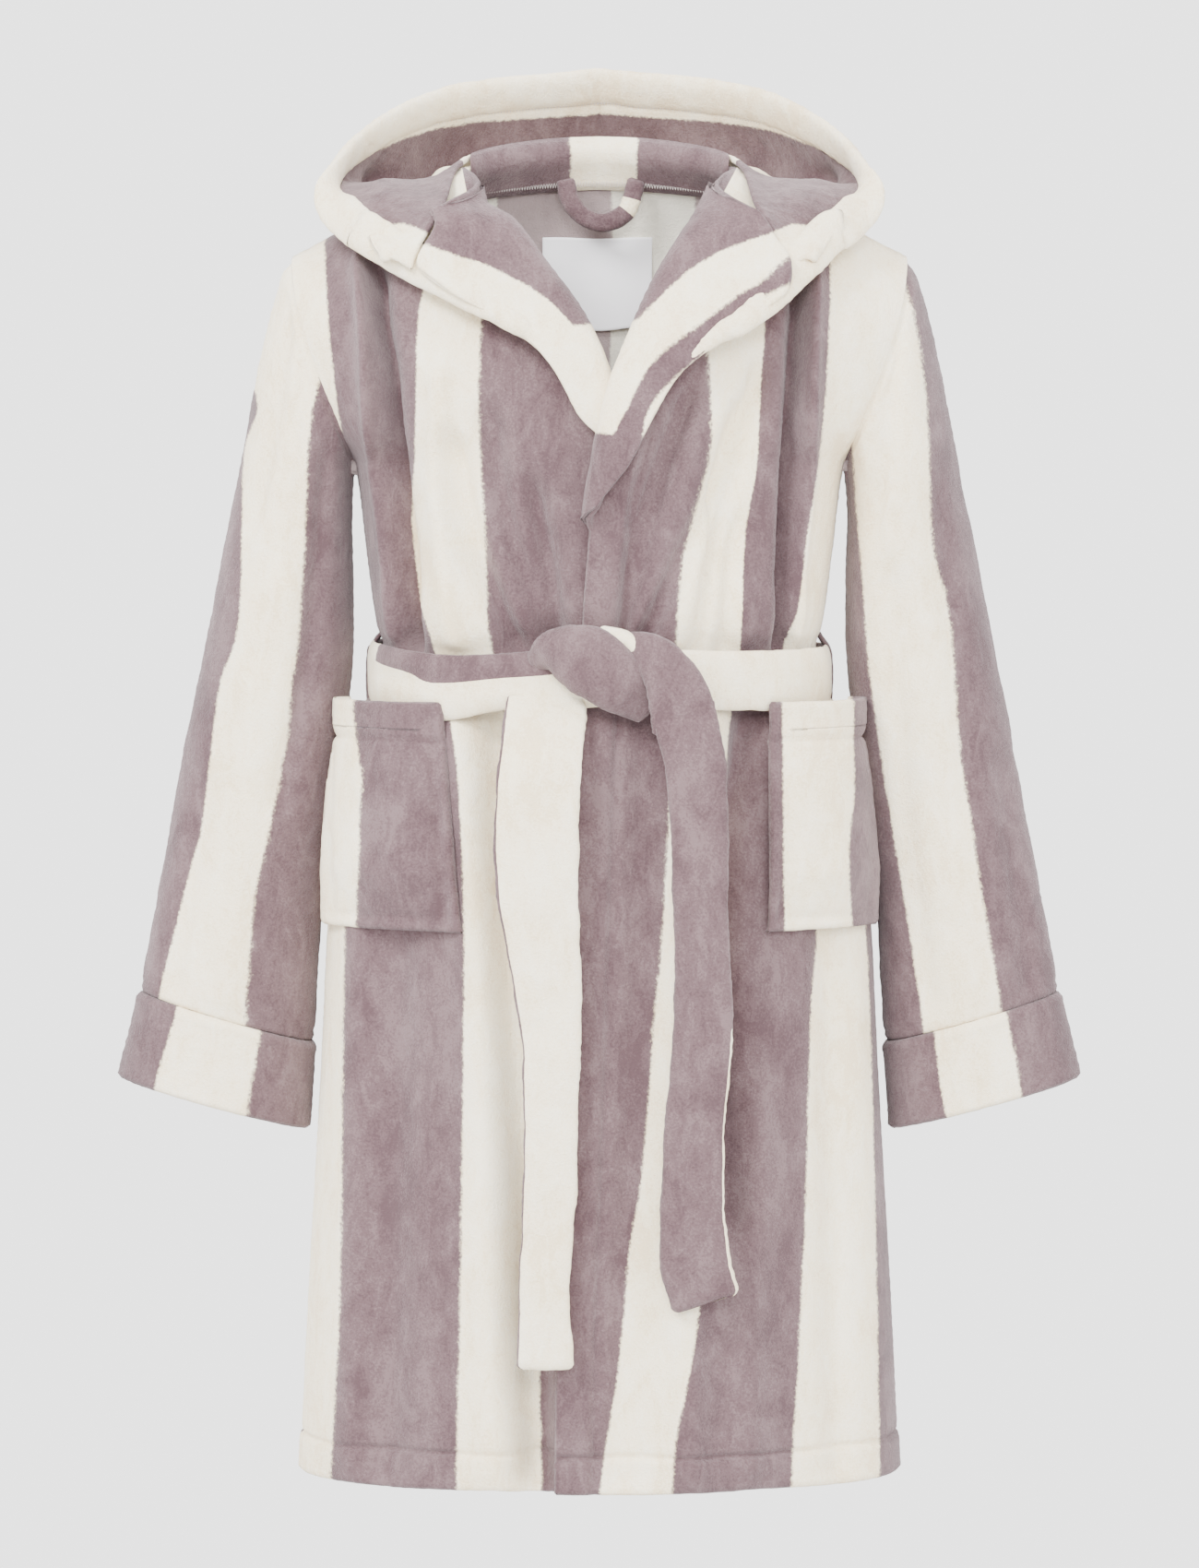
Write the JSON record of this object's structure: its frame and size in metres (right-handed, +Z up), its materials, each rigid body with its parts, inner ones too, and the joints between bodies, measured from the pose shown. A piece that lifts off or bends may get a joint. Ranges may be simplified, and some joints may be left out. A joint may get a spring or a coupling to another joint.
{
  "type": "hooded bathrobe",
  "caption": "Hooded wrap bathrobe in striped plush fleece, tied at the waist, with patch pockets, turned cuffs and a hanging loop.",
  "frame": {"origin": "middle of the line between the shoulders, where a hanger or a wearer carries the robe", "axes": "+Z up the robe, the front faces -Y, +X towards the wearer's left"},
  "size_m": [0.6588, 0.3059, 0.9562],
  "materials": {
    "striped_plush": "plush fleece with mauve and cream stripes, soft sheen",
    "woven_label": "smooth woven satin, blank"
  },
  "bodies": {
    "root": {"back_panel": "striped_plush", "right_front_panel": "striped_plush", "right_front_facing": "striped_plush", "left_front_panel": "striped_plush", "left_front_facing": "striped_plush", "back_neck_tape": "striped_plush", "neck_label": "woven_label", "right_pocket": "striped_plush", "left_pocket": "striped_plush", "right_belt_loop": "striped_plush", "left_belt_loop": "striped_plush", "belt_waistband": "striped_plush", "belt_knot": "striped_plush"},
    "right_sleeve": {"right_sleeve": "striped_plush", "right_cuff": "striped_plush"},
    "left_sleeve": {"left_sleeve": "striped_plush", "left_cuff": "striped_plush"},
    "hood": {"hood_right_half": "striped_plush", "hood_left_half": "striped_plush", "hood_right_brim": "striped_plush", "hood_left_brim": "striped_plush"},
    "hanging_loop": {"hanging_loop": "striped_plush"},
    "right_belt_end": {"right_belt_end": "striped_plush"},
    "left_belt_end": {"left_belt_end": "striped_plush"}
  },
  "joints": [
    {"name": "right_sleeve_swing", "type": "hinge", "parent": "root", "child": "right_sleeve", "pos_m": [-0.2088, 0, -0.0495], "axis": [0, 1, 0], "range_deg": [0, 65]},
    {"name": "left_sleeve_swing", "type": "hinge", "parent": "root", "child": "left_sleeve", "pos_m": [0.2088, 0, -0.0495], "axis": [0, -1, 0], "range_deg": [0, 65]},
    {"name": "hood_raise", "type": "hinge", "parent": "root", "child": "hood", "pos_m": [0, -0.095, -0.069], "axis": [1, 0, 0], "range_deg": [0, 40]},
    {"name": "hanging_loop_swing", "type": "hinge", "parent": "root", "child": "hanging_loop", "pos_m": [0.0015, 0.0453, 0.0015], "axis": [-1, 0, 0], "range_deg": [0, 120]},
    {"name": "right_belt_end_swing", "type": "hinge", "parent": "root", "child": "right_belt_end", "pos_m": [-0.037, -0.1362, -0.3485], "axis": [-1, 0, 0], "range_deg": [0, 60]},
    {"name": "left_belt_end_swing", "type": "hinge", "parent": "root", "child": "left_belt_end", "pos_m": [0.045, -0.1362, -0.3505], "axis": [-1, 0, 0], "range_deg": [0, 60]}
  ]
}
